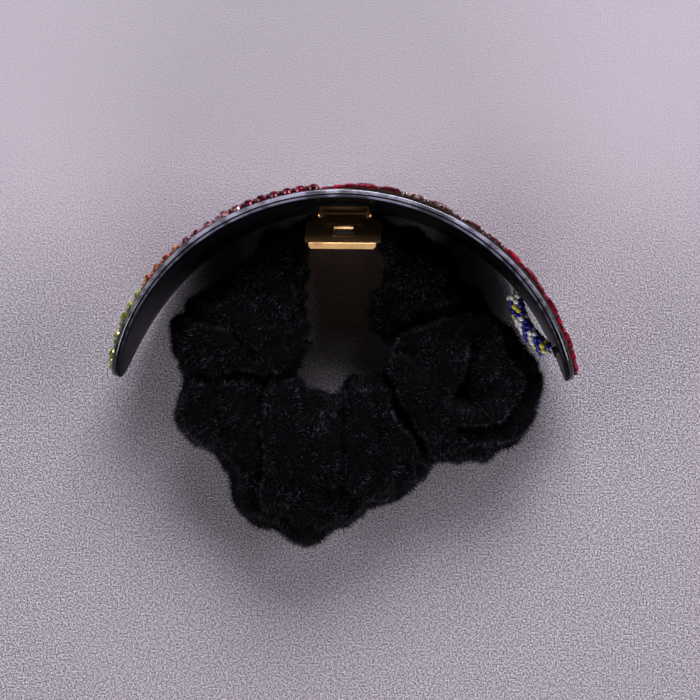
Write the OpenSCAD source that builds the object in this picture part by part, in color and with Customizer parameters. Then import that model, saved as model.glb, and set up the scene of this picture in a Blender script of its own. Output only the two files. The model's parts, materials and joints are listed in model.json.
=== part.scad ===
// Alligator hair clip: an arched, stone-set cover with a sprung metal clip glued inside it and a
// velvet scrunchie threaded through the clip's throat. Millimetres. The arch's axis is along Z, its
// crown points along +Y, and the cover stands on the straight middle of its lower rim at z = 0.
// The origin is on that rim at the crown. Modules draw about the arch's axis; in_frame() then moves
// them to the origin.

/* [Cover] */
// Outer radius of the arch
cover_r = 56.6; // [50:0.2:68]
// Width of the cover along the arch's axis
cover_w = 42; // [32:1:54]
// Angle from the crown to each tip
cover_half_angle = 76.5; // [60:0.5:80]
// Angle from the crown to where the rims begin to curve towards the tip
straight_half_angle = 30; // [20:1:45]
// Thickness of the outer ply
outer_ply = 1.3; // [0.8:0.1:2]
// Thickness of the inner ply
inner_ply = 0.8; // [0.5:0.1:1.5]

/* [Stones] */
// Clear gap between neighbouring stones
stone_gap = 0.35; // [0.2:0.05:1]
// Width of bare rim left outside the stones
bare_rim = 0.3; // [0.2:0.1:2]
// Length of a step-cut stone
step_len = 4.9; // [3:0.1:6]
// Width of a step-cut stone
step_wid = 2.9; // [2:0.1:3.1]
// Height of a step-cut stone
step_high = 1.35; // [1:0.05:2]
// Radius of a round stone
round_r = 1.35; // [0.9:0.05:1.7]
// Height of a round stone
round_high = 1.3; // [0.9:0.05:2]
// Wall and floor thickness of a stone's metal cup
cup_wall = 0.2; // [0.15:0.05:0.3]
// Thickness of the glue under stones and cups
glue_film = 0.05; // [0.03:0.01:0.1]

/* [Clip] */
// Sideways place of the clip's middle
clip_x = 0.3; // [-3:0.1:3]
// Height of the hinge pin above the middle of the cover's width
pin_rise = 1.5; // [0:0.5:3]
// Thickness of the metal sheet
sheet = 0.6; // [0.4:0.05:0.8]
// Clear gap between the two plates when the clip is shut
throat = 1.9; // [1.8:0.1:2.6]
// Width of the moving jaw
jaw_w = 10.4; // [9:0.2:12]
// Height of the jaws' tips above the lower rim's plane
tip_gap = 2.5; // [2:0.5:6]
// Length of the fixed plate from the pin to its finger end
fixed_tail_len = 4.2; // [4:0.1:12]
// Width of the lever's finger plate
tail_w = 17.6; // [15:0.2:20]
// Length of the lever from its bend to its lip
lever_len = 13.3; // [11:0.1:15]
// Angle of the lever away from the fixed plate
lever_angle = 30; // [25:1:35]
// Width of the lever's lip
lip_len = 1.5; // [1:0.1:2.5]
// Angle of the lip from the lever
lip_angle = 52; // [30:1:60]
// Width of the lever's window
window_w = 4.6; // [3:0.1:6]
// Length of the lever's window
window_len = 5; // [3:0.1:6]
// Distance from the lever's bend to its window
window_from = 4.9; // [3:0.1:5.4]
// Radius of the hinge pin
pin_r = 0.5; // [0.4:0.05:0.6]
// Thickness of the leaf spring
leaf = 0.25; // [0.15:0.05:0.3]
// Thickness of adhesive left where the flat clip comes nearest the curved inner ply
pad_film = 0.4; // [0.05:0.05:0.6]

/* [Scrunchie] */
// Radius of the elastic
elastic_r = 0.75; // [0.5:0.05:0.8]
// Thickness of the velvet tube's wall
velvet_wall = 2; // [1:0.1:3]
// Fullness of the velvet tube, as a share of its drawn size
fullness = 1; // [0.8:0.01:1.03]
// Distance of the elastic from the hinge pin
elastic_offset = 3.2; // [2.6:0.1:4]

/* [Beaded strand] */
// Radius of a bead
bead_r = 0.62; // [0.5:0.01:0.64]
// Radius of the cord in the middle of the strand
thread_r = 0.58; // [0.3:0.02:0.58]
// Height of the strand above the middle of the cover's width
strand_rise = 5; // [0:0.5:5]
// Radius of the glued buttons that hold the strand's ends
anchor_r = 1.3; // [1:0.1:1.5]

/* [Hidden] */
$fn = 96;

// Running clearance between moving metal pieces
clear = 0.05;
// Side gap between pieces that turn past each other
side_gap = 0.1;
far = 200;

// ---- The cover ----
ply_r = cover_r - outer_ply;
inside_r = ply_r - inner_ply;

module in_frame() translate([0, outer_ply / 2 - cover_r, 0]) children();

// Share of the full width that the cover has at angle a from the crown
function taper(a) = abs(a) <= straight_half_angle ? 1 :
    abs(a) >= cover_half_angle ? 0 :
    sqrt(1 - pow((abs(a) - straight_half_angle) / (cover_half_angle - straight_half_angle), 2));

// Places children at angle a from the crown, on radius r, with their +Z pointing outwards
module on_arch(a, r, z)
    rotate([0, 0, -a]) translate([0, r, z]) rotate([-90, 0, 0]) children();

// What is cut off one end of the cover, drawn flat: the region outside the rounded end
end_mid = (straight_half_angle + cover_half_angle) / 2;
module end_waste() {
    step = (cover_half_angle - straight_half_angle) / 30;
    angles = [for (i = [0:30]) straight_half_angle + i * step];
    function along(a) = cover_r * sin(a - end_mid);
    upper = [for (a = angles) [along(a), cover_w / 2 * taper(a)]];
    lower = [for (i = [30:-1:0]) [along(angles[i]), -cover_w / 2 * taper(angles[i])]];
    difference() {
        translate([along(straight_half_angle) + 0.01, -cover_w]) square([cover_r, 2 * cover_w]);
        polygon(concat([[along(straight_half_angle) - 1, -cover_w / 2]],
                       [[along(straight_half_angle) - 1, cover_w / 2]], upper, lower));
    }
}

// A curved ply from radius r0 to radius r1 with both ends rounded off
module ply(r0, r1) {
    swing = cover_half_angle + 3;
    difference() {
        rotate([0, 0, 90 - swing]) rotate_extrude(angle = 2 * swing)
            translate([r0, 0]) square([r1 - r0, cover_w]);
        for (side = [-1, 1])
            on_arch(side * end_mid, r0 / 2, cover_w / 2)
                mirror([side < 0 ? 1 : 0, 0, 0]) linear_extrude(height = r1) end_waste();
    }
}

module cover_outer_ply() color([0.03, 0.03, 0.04]) in_frame() ply(ply_r, cover_r);
module cover_inner_ply() color([0.05, 0.05, 0.06]) in_frame() ply(inside_r, ply_r);

// ---- The stones ----
LIME = 0;
AMBER = 1;
ROSE = 2;
GARNET = 3;
RUBY = 4;
BLUSH = 5;
// Where each colour ends along the top row, as angles from the crown
colour_ends = [[-50, LIME], [-40, AMBER], [-23, ROSE], [-4, GARNET], [5, RUBY], [10, GARNET],
               [44, BLUSH], [90, RUBY]];
// Degrees by which the colours and the meeting of the two cuts lean over, per millimetre of drop
colour_lean = 0.45;
cut_lean = 0.6;
// Angle where the two cuts meet in the top row
cut_split = -3;

cup_len = step_len + 2 * (cup_wall + clear);
cup_wid = step_wid + 2 * (cup_wall + clear);

function chance(i, j) = rands(0, 1, 1, 17 + i * 131 + j * 7)[0];
function end_colour(a, k = 0) = a <= colour_ends[k][0] || k == len(colour_ends) - 1 ?
    colour_ends[k][1] : end_colour(a, k + 1);
// The colour at angle a and drop below the top row; a stone strays from its band by up to 4 degrees
function colour_at(a, drop, luck) = end_colour(a + colour_lean * drop + 8 * luck - 4);
// The angle where the two cuts meet
function cut_at(drop) = cut_split - cut_lean * drop;
// True if a stone of length l and width w fits on the cover at angle a and height z
function fits(a, z, l, w) =
    abs(z - cover_w / 2) + w / 2 + bare_rim <=
    cover_w / 2 * taper(abs(a) + asin(l / 2 / cover_r)) + 0.001;

// Calls its child once for each place of one cut; $a, $z and $colour say where and what
module each_place(step_cut) {
    l = step_cut ? cup_len : 2 * round_r;
    w = step_cut ? cup_wid : 2 * round_r;
    half = asin(l / 2 / cover_r);
    pitch = (l + stone_gap) / cover_r * 180 / PI;
    count = ceil(cover_half_angle / pitch);
    rows = floor((cover_w - 2 * bare_rim + stone_gap) / (w + stone_gap));
    for (i = [0:rows - 1]) for (j = [-count:count]) {
        a = (j + (i % 2) / 2) * pitch;
        drop = i * (cover_w - 2 * bare_rim - w) / (rows - 1);
        z = cover_w - bare_rim - w / 2 - drop;
        apart = half + cut_lean * w / 2;
        right_side = step_cut ? a - apart > cut_at(drop) : a + apart < cut_at(drop);
        if (right_side && fits(a, z, l, w)) {
            $a = a;
            $z = z;
            $colour = colour_at(a, drop, chance(i, j));
            children();
        }
    }
}

// A step-cut stone: a straight girdle below a sloping step and a flat table
module step_stone() {
    girdle = 0.55 * step_high;
    inset = 0.7;
    function ring(x, y, z) = [[-x, -y, z], [x, -y, z], [x, y, z], [-x, y, z]];
    levels = concat(ring(step_len / 2, step_wid / 2, 0), ring(step_len / 2, step_wid / 2, girdle),
                    ring(step_len / 2 - inset, step_wid / 2 - inset, step_high));
    sides = [for (k = [0, 4]) for (m = [0:3]) [k + m, k + 4 + m, k + 4 + (m + 1) % 4, k + (m + 1) % 4]];
    polyhedron(levels, concat([[0, 1, 2, 3]], sides, [[11, 10, 9, 8]]));
}

module round_stone() {
    girdle = 0.4 * round_high;
    rotate_extrude($fn = 24)
        polygon([[0, 0], [round_r, 0], [round_r, girdle], [0.55 * round_r, round_high], [0, round_high]]);
}

module stones(colour) in_frame() {
    each_place(true)
        if ($colour == colour)
            on_arch($a, cover_r + glue_film + cup_wall, $z) step_stone();
    each_place(false)
        if ($colour == colour)
            on_arch($a, cover_r + glue_film, $z) round_stone();
}

// A metal cup: a shallow tray with a raised tab at each end that holds the stone
module cup() {
    tray_high = 0.2 * step_high + cup_wall;
    tab_high = 0.7 * step_high + cup_wall;
    tab_wid = 0.4 * step_wid;
    difference() {
        translate([-cup_len / 2, -cup_wid / 2, 0]) cube([cup_len, cup_wid, tray_high]);
        translate([-cup_len / 2 + cup_wall, -cup_wid / 2 + cup_wall, cup_wall - 0.02])
            cube([cup_len - 2 * cup_wall, cup_wid - 2 * cup_wall, tray_high]);
    }
    for (side = [-1, 1])
        translate([side * (cup_len - cup_wall) / 2 - cup_wall / 2, -tab_wid / 2, 0])
            cube([cup_wall, tab_wid, tab_high]);
}

module stones_lime() color([0.74, 0.82, 0.25]) stones(LIME);
module stones_amber() color([0.86, 0.42, 0.22]) stones(AMBER);
module stones_rose() color([0.80, 0.45, 0.48]) stones(ROSE);
module stones_garnet() color([0.35, 0.03, 0.10]) stones(GARNET);
module stones_ruby() color([0.75, 0.05, 0.17]) stones(RUBY);
module stones_blush() color([0.86, 0.70, 0.74]) stones(BLUSH);
module stone_cups() color([0.45, 0.38, 0.32]) in_frame()
    each_place(true) on_arch($a, cover_r + glue_film, $z) cup();

// ---- The clip ----
// In the clip's own frame the pin lies along X, +Y runs to the finger end and +Z away from the cover.
pin_z = cover_w / 2 + pin_rise;
jaw_len = pin_z - tip_gap;
ear_in = jaw_w / 2 + side_gap;
neck_half = ear_in + sheet;
pad_face_y = sqrt(pow(inside_r, 2) - pow(abs(clip_x) + neck_half, 2)) - pad_film;
pin_y = pad_face_y - sheet - throat / 2;
ear_r = throat / 2 + sheet;
moving_ear_r = ear_r - 0.25;
bend_at = ear_r + 0.1;
// Width of the pressed rim round the lever's window
window_rim = 0.5;
chamfer = tail_w / 2 - neck_half;

module clip_frame() in_frame() translate([clip_x, pin_y, pin_z]) rotate([90, 0, 0]) children();

// Stands a flat drawing on edge, its X along the clip and its Y away from the cover, with thickness t
module on_edge(x, t) translate([x, 0, 0]) rotate([90, 0, 90]) linear_extrude(height = t) children();

module both_sides() {
    children();
    mirror([1, 0, 0]) children();
}

// Outline of a jaw from its tip to y1, w wide, with the tip's corners rounded
module jaw_outline(w, y1) {
    corner = 2;
    for (side = [-1, 1])
        translate([side * (w / 2 - corner), -jaw_len + corner]) circle(r = corner, $fn = 32);
    translate([corner - w / 2, -jaw_len]) square([w - 2 * corner, jaw_len]);
    translate([-w / 2, -jaw_len + corner]) square([w, jaw_len - corner + y1]);
}

// Outline of the lever: its neck widens by a chamfer to the full width
module lever_outline() {
    c = 1.2;
    polygon([[-neck_half, 0], [neck_half, 0], [tail_w / 2, chamfer], [tail_w / 2, lever_len - c],
             [tail_w / 2 - c, lever_len], [c - tail_w / 2, lever_len], [-tail_w / 2, lever_len - c],
             [-tail_w / 2, chamfer]]);
}

module pin_hole(r) rotate([0, 90, 0]) cylinder(h = far, r = r, center = true);

module fixed_jaw_shape() {
    difference() {
        union() {
            translate([0, 0, -throat / 2 - sheet]) linear_extrude(height = sheet) {
                jaw_outline(jaw_w, 0);
                translate([-neck_half, -ear_r]) square([2 * neck_half, ear_r + fixed_tail_len]);
            }
            both_sides() on_edge(ear_in, sheet) {
                circle(r = ear_r, $fn = 48);
                translate([-ear_r, -throat / 2 - sheet]) square([2 * ear_r, throat / 2 + sheet]);
            }
        }
        // Room for the moving jaw's ears
        both_sides() translate([ear_in - sheet - 2 * side_gap, -ear_r, -throat])
            cube([sheet + 2 * side_gap, 2 * ear_r, throat]);
        pin_hole(pin_r);
    }
}

// One toothed edge of the moving jaw, drawn from the side
module teeth_profile() {
    tooth = 1.3;
    root = -throat / 2 + 1;
    first = elastic_offset + elastic_r + 2.2;
    count = floor((jaw_len - 1.5 - first) / tooth);
    tips = [for (i = [0:count - 1]) each [[-first - i * tooth, root],
                                        [-first - (i + 0.5) * tooth, -throat / 2 + side_gap]]];
    polygon(concat([[-first, throat / 2 + sheet / 2]], tips,
                   [[-first - count * tooth, root], [-first - count * tooth, throat / 2 + sheet / 2]]));
}

module moving_jaw_shape() {
    lip_w = tail_w - 2;
    difference() {
        union() {
            translate([0, 0, throat / 2]) linear_extrude(height = sheet) jaw_outline(jaw_w, bend_at);
            translate([0, bend_at, throat / 2]) rotate([lever_angle, 0, 0]) {
                linear_extrude(height = sheet) lever_outline();
                // A pressed rim round the window
                translate([-window_w / 2 - window_rim, window_from - window_rim, -0.2])
                    cube([window_w + 2 * window_rim, window_len + 2 * window_rim, 0.3]);
                translate([0, lever_len - 0.15, 0.08]) rotate([lip_angle, 0, 0])
                    translate([-lip_w / 2, 0, 0]) cube([lip_w, lip_len, sheet]);
            }
            both_sides() on_edge(jaw_w / 2 - sheet, sheet) {
                circle(r = moving_ear_r, $fn = 48);
                translate([-moving_ear_r, 0]) square([2 * moving_ear_r, throat / 2 + sheet / 2]);
                teeth_profile();
            }
        }
        translate([0, bend_at, throat / 2]) rotate([lever_angle, 0, 0])
            translate([-window_w / 2, window_from, -1])
                cube([window_w, window_len, 3]);
        pin_hole(pin_r + clear);
    }
}

module fixed_jaw() color([0.83, 0.62, 0.25]) clip_frame() fixed_jaw_shape();
module moving_jaw() color([0.83, 0.62, 0.25]) clip_frame() moving_jaw_shape();

// A rivet held in the fixed jaw's ears, with a flat head outside each
module hinge_pin() color([0.80, 0.58, 0.22]) clip_frame() {
    head = 0.4;
    rotate([0, 90, 0]) cylinder(h = 2 * neck_half, r = pin_r, center = true);
    both_sides() translate([neck_half, 0, 0]) rotate([0, 90, 0]) cylinder(h = head, r = 1.8 * pin_r);
}

// The leaf spring's middle line from the side: along the fixed plate, round the pin, up the lever
leaf_r = pin_r + clear + 0.05 + leaf / 2;
// The spring ends short of the window's rim
leaf_reach = bend_at + (window_from - window_rim - 2 * side_gap) * cos(lever_angle);
lever_side = [for (y = [bend_at, leaf_reach])
    [y + (leaf / 2 + clear) * sin(lever_angle),
     throat / 2 + (y - bend_at) * tan(lever_angle) - (leaf / 2 + clear) / cos(lever_angle)]];
leaf_line = concat(
    [[min(leaf_reach, fixed_tail_len), -throat / 2 + leaf / 2 + clear],
     [bend_at, -throat / 2 + leaf / 2 + clear]],
    [for (a = [-90:-15:-270]) leaf_r * [cos(a), sin(a)]],
    lever_side);

// Outline of a strip of thickness t along the line p
function side_of(p, i) =
    let (a = p[max(i - 1, 0)], b = p[min(i + 1, len(p) - 1)], d = (b - a) / norm(b - a)) [-d.y, d.x];
function strip(p, t) = concat([for (i = [0:len(p) - 1]) p[i] + side_of(p, i) * t / 2],
                              [for (i = [len(p) - 1:-1:0]) p[i] - side_of(p, i) * t / 2]);

module leaf_spring() color([0.85, 0.60, 0.28]) clip_frame() {
    width = jaw_w - 2 * sheet - 2 * side_gap;
    on_edge(-width / 2, width) polygon(strip(leaf_line, leaf));
}

// The adhesive pad fills the crescent between the flat jaw and the curved inner ply
module clip_pad() color([0.06, 0.07, 0.07]) in_frame() {
    from_tip = 2;
    intersection() {
        translate([clip_x - neck_half, pad_face_y, pin_z - jaw_len + from_tip])
            cube([2 * neck_half, inside_r - pad_face_y, jaw_len + fixed_tail_len - from_tip]);
        cylinder(h = far, r = inside_r - glue_film, center = true, $fn = 360);
    }
}

// ---- The scrunchie ----
// The elastic crosses the clip's throat in a straight line and is bare there.
bare_half = neck_half + 0.9;
elastic_z = pin_z - elastic_offset;
end_half = 1.6;

// The velvet tube's line round the ring, from the clip's left side to its right side, drawn for an
// arch of inner radius drawn_r with the elastic at height drawn_z. Each point has its place from the
// elastic, x, y and height, then the tube's half width and half height there.
drawn_r = 54.5;
drawn_z = 19.3;
ring_drawn = [
    [-11.5, -2.8, -0.5, 3.2, 3.4], [-16.5, -7.8, -2, 6, 6.4], [-22, -15.5, -3.5, 10.6, 10.5],
    [-26.5, -25, -4, 14.5, 13.5], [-27.6, -35.5, -4, 16, 15], [-24.6, -46.5, -4, 16, 15],
    [-15.2, -55.4, -4, 17.6, 15], [-2, -59, -4, 19.6, 15], [12, -56.4, -4, 18.2, 15],
    [23.4, -48.4, -4, 17, 15], [28.6, -37, -4, 16.8, 15], [26.8, -25.6, -4, 14.8, 13.6],
    [21.7, -15.9, -3.5, 10.8, 10.5], [16.2, -8.2, -2, 6.4, 6.4], [11.4, -2.9, -0.5, 3.3, 3.4]];
ring_line = concat([[-bare_half, 0, 0, end_half, end_half]],
    [for (v = ring_drawn) [v[0] * inside_r / drawn_r, v[1] * inside_r / drawn_r,
                           v[2] * elastic_z / drawn_z, v[3] * inside_r / drawn_r,
                           v[4] * elastic_z / drawn_z]],
    [[bare_half, 0, 0, end_half, end_half]]);

// A smooth curve through the points p at t, which runs from 0 to the last point's index
function curve(p, t) =
    let (i = min(floor(t), len(p) - 2), u = t - i,
         a = p[max(i - 1, 0)], b = p[i], c = p[i + 1], d = p[min(i + 2, len(p) - 1)])
    0.5 * (2 * b + (c - a) * u + (2 * a - 5 * b + 4 * c - d) * u * u + (3 * b - a - 3 * c + d) * u * u * u);

ring_steps = 48;
ring_last = len(ring_line) - 1;
function ring_at(t) =
    let (v = curve(ring_line, t)) [v[0] + clip_x, v[1] + pin_y, v[2] + elastic_z, v[3], v[4]];
// Sideways direction of the ring's line at t; the line leaves the clip straight along X
function ring_side(t) =
    let (a = ring_at(max(t - 0.05, 0)), b = ring_at(min(t + 0.05, ring_last)),
         d = t <= 0 || t >= ring_last ? [-1, 0] : [b.x - a.x, b.y - a.y])
    [-d.y, d.x, 0] / norm(d);
// A closed section at t with half sizes w and h, as n points
function section(t, w, h, n) =
    let (v = ring_at(t), s = ring_side(t))
    [for (k = [0:n - 1]) [v[0], v[1], v[2]] + s * w * cos(360 * k / n) + [0, 0, h * sin(360 * k / n)]];

// Faces of a tube's side whose rings of n points start at point first
function side_faces(first, count, n, flip = false) =
    [for (i = [0:count - 2]) for (k = [0:n - 1])
        let (a = first + i * n + k, b = first + i * n + (k + 1) % n)
        flip ? [a, b, b + n, a + n] : [a, a + n, b + n, b]];

// Half sizes of the tube's outside at t; its fullness fades out towards the clip
function tube_half(t) =
    let (v = ring_at(t), f = min(t, ring_last - t) < 2 ? 1 : fullness) [v[3] * f, v[4] * f];

module velvet_tube() color([0.04, 0.035, 0.05]) in_frame() {
    n = 18;
    bore = elastic_r + 0.35;
    times = [for (i = [0:ring_steps]) i * ring_last / ring_steps];
    outer = [for (t = times) let (h = tube_half(t)) each section(t, h[0], h[1], n)];
    inner = [for (t = times) let (h = tube_half(t))
        each section(t, max(bore, h[0] - velvet_wall), max(bore, h[1] - velvet_wall), n)];
    inner_first = len(outer);
    last = ring_steps * n;
    start_cap = [for (k = [0:n - 1]) [k, (k + 1) % n, inner_first + (k + 1) % n, inner_first + k]];
    end_cap = [for (k = [0:n - 1]) [last + (k + 1) % n, last + k, inner_first + last + k,
                                    inner_first + last + (k + 1) % n]];
    polyhedron(concat(outer, inner),
               concat(side_faces(0, ring_steps + 1, n), side_faces(inner_first, ring_steps + 1, n, true),
                      start_cap, end_cap), convexity = 6);
}

// A round cord: straight and bare through the throat, and along the tube's middle inside it
module elastic_band() color([0.09, 0.09, 0.1]) in_frame() {
    n = 10;
    buried_r = elastic_r - 0.05;
    points = [for (i = [0:ring_steps]) each section(i * ring_last / ring_steps, buried_r, buried_r, n)];
    last = ring_steps * n;
    polyhedron(points, concat(side_faces(0, ring_steps + 1, n), [[for (k = [0:n - 1]) k]],
                              [[for (k = [n - 1:-1:0]) last + k]]), convexity = 4);
    translate([clip_x, pin_y, elastic_z]) rotate([0, 90, 0])
        cylinder(h = 2 * bare_half + 0.2, r = elastic_r, center = true);
}

// A ferrule that joins the elastic's ends, inside the velvet tube opposite the clip
module elastic_crimp() color([0.6, 0.6, 0.62]) in_frame() {
    v = ring_at(ring_last / 2);
    s = ring_side(ring_last / 2);
    translate([v[0], v[1], v[2]]) rotate([0, 90, atan2(s.y, s.x) + 90]) difference() {
        cylinder(h = 3, r = elastic_r + 0.65, center = true);
        cylinder(h = 4, r = elastic_r + 0.15, center = true);
    }
}

// ---- The beaded strand ----
// The strand runs along the inside of the cover's right wing, bowed out from it between its anchors
strand_z = cover_w / 2 + strand_rise;
strand_ends = [cover_half_angle - 27, cover_half_angle - 8];
anchor_high = 1.1;
strand_bow = 2.6;
function strand_at(t) =
    let (a = strand_ends[0] + t * (strand_ends[1] - strand_ends[0]),
         r = inside_r - glue_film - anchor_high - thread_r - clear - strand_bow * sin(180 * t))
    [r * sin(a), r * cos(a), strand_z];
function strand_dir(t) =
    let (d = strand_at(min(t + 0.01, 1)) - strand_at(max(t - 0.01, 0))) d / norm(d);

// The beads lie in rings of six round the thread, each ring turned half a bead from the last
around = 6;
bead_round = 0.87 * bead_r;
bead_circle = bead_r / sin(180 / around);
// Colours of the beads in each ring, one letter each: w white, b blue, y yellow
bead_rings = ["wwwwww", "bwbwbw", "bbybby", "bybbyb", "ybbybb", "wwwwww", "wbwwbw", "bbwbbw",
              "wbbwbb", "wwbwwb", "bwwbww", "bbwbbw", "ybbybb", "yybyyb", "bbybby"];
strand_margin = 0.09;

module beads(letter) in_frame() {
    last = len(bead_rings) - 1;
    for (i = [0:last]) for (k = [0:around - 1])
        if (bead_rings[i][k] == letter) {
            t = strand_margin + (1 - 2 * strand_margin) * i / last;
            d = strand_dir(t);
            turn = (k + (i % 2) / 2) * 360 / around;
            translate(strand_at(t) + bead_circle * (cos(turn) * [-d.y, d.x, 0] + sin(turn) * [0, 0, 1]))
                sphere(r = bead_round, $fn = 32);
        }
}
module beads_white() color([0.93, 0.92, 0.88]) beads("w");
module beads_blue() color([0.10, 0.10, 0.62]) beads("b");
module beads_yellow() color([0.85, 0.83, 0.25]) beads("y");

module strand_thread() color([0.8, 0.8, 0.78]) in_frame() {
    n = 8;
    steps = 24;
    points = [for (i = [0:steps]) let (p = strand_at(i / steps), d = strand_dir(i / steps))
        for (k = [0:n - 1])
            p + thread_r * (cos(360 * k / n) * [-d.y, d.x, 0] + sin(360 * k / n) * [0, 0, 1])];
    polyhedron(points, concat(side_faces(0, steps + 1, n), [[for (k = [0:n - 1]) k]],
                              [[for (k = [n - 1:-1:0]) steps * n + k]]), convexity = 4);
}

// A glued button on the inner ply at each end of the strand
module strand_anchors() color([0.08, 0.10, 0.09]) in_frame()
    for (a = strand_ends)
        on_arch(a, inside_r - glue_film - anchor_high, strand_z)
            cylinder(h = anchor_high, r = anchor_r, $fn = 32);

cover_outer_ply();
cover_inner_ply();
stones_lime();
stones_amber();
stones_rose();
stones_garnet();
stones_ruby();
stones_blush();
stone_cups();
clip_pad();
fixed_jaw();
moving_jaw();
hinge_pin();
leaf_spring();
elastic_band();
elastic_crimp();
velvet_tube();
strand_thread();
strand_anchors();
beads_white();
beads_blue();
beads_yellow();
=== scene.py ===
"""Looks of the arched hair clip: a black two-ply cover set with glass stones, a gilt sprung clip glued
inside its crown, a plush scrunchie threaded through the clip and a short rope of seed beads.
Sizes are in millimetres in the row's frame until a mesh is made, and in metres from there on."""
import json
import math
import random

import bmesh
import bpy
import numpy as np
from mathutils import Matrix, Vector, noise


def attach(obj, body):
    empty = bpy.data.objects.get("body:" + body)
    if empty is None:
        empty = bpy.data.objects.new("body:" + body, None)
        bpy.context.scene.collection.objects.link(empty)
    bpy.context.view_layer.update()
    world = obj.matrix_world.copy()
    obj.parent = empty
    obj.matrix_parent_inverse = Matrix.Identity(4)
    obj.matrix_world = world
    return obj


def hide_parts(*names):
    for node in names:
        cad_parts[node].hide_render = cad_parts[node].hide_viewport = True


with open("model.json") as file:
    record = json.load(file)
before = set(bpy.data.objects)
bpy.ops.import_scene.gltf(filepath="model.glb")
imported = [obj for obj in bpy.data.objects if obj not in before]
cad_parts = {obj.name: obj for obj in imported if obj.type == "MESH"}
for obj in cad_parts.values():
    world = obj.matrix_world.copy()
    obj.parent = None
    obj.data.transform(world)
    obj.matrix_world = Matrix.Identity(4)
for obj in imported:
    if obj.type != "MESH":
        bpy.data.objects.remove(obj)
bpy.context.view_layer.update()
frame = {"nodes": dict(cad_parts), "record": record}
MM = 0.001


# ---- Cover -------------------------------------------------------------------------------------
# Two bonded plies of black cellulose acetate, bent hot over a cylinder. The outline is sawn to a long
# oval and the rims are rounded; the sawn edge is a little greyer and rougher than the faces. Its colour
# also carries painted light: lighter towards the crown and darker towards the tips, with streaks of
# painted highlight along it.
ARCH_R = 56.6
OUTER_PLY = 1.3
INNER_PLY = 0.8
COVER_W = 42.0
HALF_ANGLE = 76.5
STRAIGHT_ANGLE = 30.0
ARCH_Y = OUTER_PLY / 2 - ARCH_R
INSIDE_R = ARCH_R - OUTER_PLY - INNER_PLY


class Field:
    """A value or colour that varies over a surface. Sums of fields and numbers make the nodes."""

    def __init__(self, finish, socket):
        self.finish = finish
        self.socket = socket

    def _math(self, operation, first, second):
        return self.finish.node("ShaderNodeMath", {"operation": operation}, {0: first, 1: second})

    def __add__(self, other):
        return self._math("ADD", self, other)

    def __radd__(self, other):
        return self._math("ADD", other, self)

    def __sub__(self, other):
        return self._math("SUBTRACT", self, other)

    def __rsub__(self, other):
        return self._math("SUBTRACT", other, self)

    def __mul__(self, other):
        return self._math("MULTIPLY", self, other)

    def __rmul__(self, other):
        return self._math("MULTIPLY", other, self)

    def __pow__(self, other):
        return self._math("POWER", self, other)

    def rise(self, low, high):
        """0 up to low and 1 from high on, with a smooth rise between them."""
        return self.finish.node(
            "ShaderNodeMapRange", {"interpolation_type": "SMOOTHSTEP"}, {0: self, 1: low, 2: high}
        )

    def blend(self, first, second):
        """The first colour where this is 0 and the second where it is 1."""
        return self.finish.node(
            "ShaderNodeMix", {"data_type": "RGBA"}, {0: self, 6: first, 7: second}, output=2
        )


def rgb(red, green, blue):
    return (red, green, blue, 1.0)


class Finish:
    """One material: a Principled shader with its constants, and the nodes that vary it."""

    def __init__(self, name, **constants):
        self.material = bpy.data.materials.new(name)
        self.material.use_nodes = True
        self.tree = self.material.node_tree
        self.shader = self.tree.nodes["Principled BSDF"]
        self.drive(**constants)

    def plug(self, socket, value):
        if isinstance(value, Field):
            self.tree.links.new(value.socket, socket)
        else:
            socket.default_value = value

    def node(self, kind, settings, inputs, output=0):
        made = self.tree.nodes.new(kind)
        for name, value in settings.items():
            setattr(made, name, value)
        for key, value in inputs.items():
            self.plug(made.inputs[key], value)
        return Field(self, made.outputs[output])

    def drive(self, **values):
        """Sets or links the shader's sockets; an underscore in a name stands for a space."""
        for name, value in values.items():
            self.plug(self.shader.inputs[name.replace("_", " ")], value)
        return self

    def place(self, stretch=(1, 1, 1)):
        """The object's own coordinates in millimetres, stretched along each axis."""
        here = self.node("ShaderNodeTexCoord", {}, {}, "Object")
        scale = tuple(s / MM for s in stretch)
        return self.node("ShaderNodeVectorMath", {"operation": "MULTIPLY"}, {0: here, 1: scale})

    def grain(self, size, detail=3.0, stretch=(1, 1, 1)):
        """Soft noise from 0 to 1 whose patches are about size millimetres across."""
        inputs = {"Vector": self.place(stretch), "Scale": 1 / size, "Detail": detail}
        return self.node("ShaderNodeTexNoise", {}, inputs)

    def attribute(self, name):
        return self.node("ShaderNodeAttribute", {"attribute_name": name}, {}, "Fac")

    def facing_up(self):
        """How far the surface faces along the arch's axis, from -1 to 1."""
        normal = self.node("ShaderNodeTexCoord", {}, {}, "Normal")
        return self.node("ShaderNodeSeparateXYZ", {}, {0: normal}, "Z")

    def from_crown(self):
        """Angle round the arch from its crown, in radians, the same on both sides."""
        here = self.node("ShaderNodeSeparateXYZ", {}, {0: self.place()}, "X")
        return self.node("ShaderNodeMath", {"operation": "ABSOLUTE"}, {0: here * (1 / ARCH_R)})

    def bump(self, height, depth):
        """Raises the surface by depth millimetres where height is 1."""
        inputs = {"Height": height, "Distance": depth * MM}
        return self.drive(Normal=self.node("ShaderNodeBump", {}, inputs))


def add_piece(name, vertices, faces, finish, body, replaces, slot, smooth=True):
    """Makes a mesh from points in millimetres and hangs it on its body in place of CAD nodes."""
    mesh = bpy.data.meshes.new(name)
    mesh.from_pydata([Vector(v) * MM for v in vertices], [], faces)
    mesh.materials.append(finish.material)
    mesh.polygons.foreach_set("use_smooth", [smooth] * len(mesh.polygons))
    mesh.update()
    piece = bpy.data.objects.new(name, mesh)
    bpy.context.scene.collection.objects.link(piece)
    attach(piece, body)
    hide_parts(*replaces)
    return piece


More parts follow.
